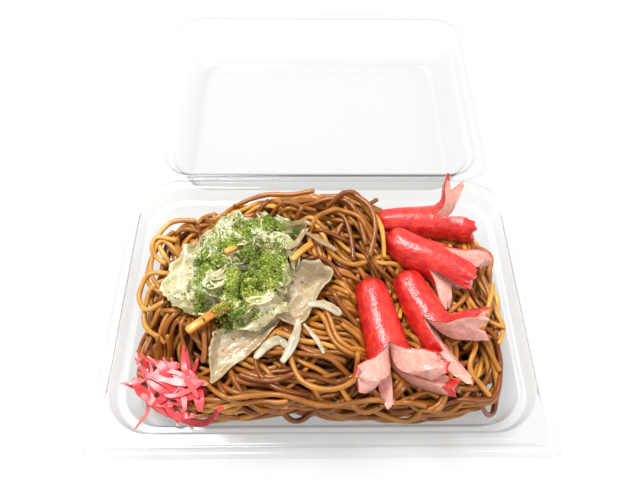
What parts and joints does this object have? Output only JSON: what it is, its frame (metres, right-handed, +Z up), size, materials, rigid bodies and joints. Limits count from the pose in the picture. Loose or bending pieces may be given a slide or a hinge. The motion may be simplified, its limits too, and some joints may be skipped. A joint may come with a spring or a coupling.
{
  "type": "yakisoba in a hinged food pack",
  "caption": "Fried wheat noodles in a clear hinged food pack laid open, with slit red sausages, cabbage, bean sprouts, carrot, green seaweed flakes and red pickled ginger.",
  "frame": {"origin": "middle of the tray's underside, on the surface that the pack stands on", "axes": "+X to the right along the tray, +Y to the back towards the hinge and the open lid, +Z up"},
  "size_m": [0.19, 0.2729, 0.051],
  "materials": {
    "clear_plastic": "clear, glossy, thin pressed sheet",
    "noodle": "moist and lightly oiled brown noodles",
    "wiener": "glossy red skin, pale pink where cut",
    "cabbage": "moist, thin and slightly see-through leaf",
    "onion": "soft, stained with sauce",
    "sprout": "moist and pale",
    "carrot": "moist cut faces",
    "ginger": "wet red strips"
  },
  "bodies": {
    "base": {"pack_base": "clear_plastic", "noodle_heap": "noodle", "wiener_1": "wiener", "wiener_2": "wiener", "wiener_3": "wiener", "wiener_4": "wiener", "cabbage_left": "cabbage", "cabbage_tip": "cabbage", "cabbage_right": "cabbage", "cabbage_front": "cabbage", "cabbage_middle": "cabbage", "cabbage_top": "cabbage", "cabbage_curl": "cabbage", "onion_strip_1": "onion", "onion_strip_2": "onion", "onion_strip_3": "onion", "sprout_1": "sprout", "sprout_2": "sprout", "sprout_3": "sprout", "sprout_4": "sprout", "carrot_1": "carrot", "carrot_2": "carrot", "carrot_3": "carrot", "ginger_heap": "ginger"},
    "lid": {"pack_lid": "clear_plastic"}
  },
  "joints": [
    {"name": "lid_hinge", "type": "hinge", "parent": "base", "child": "lid", "pos_m": [0, 0.0688, 0.02515], "axis": [1, 0, 0], "range_deg": [0, 176]}
  ]
}
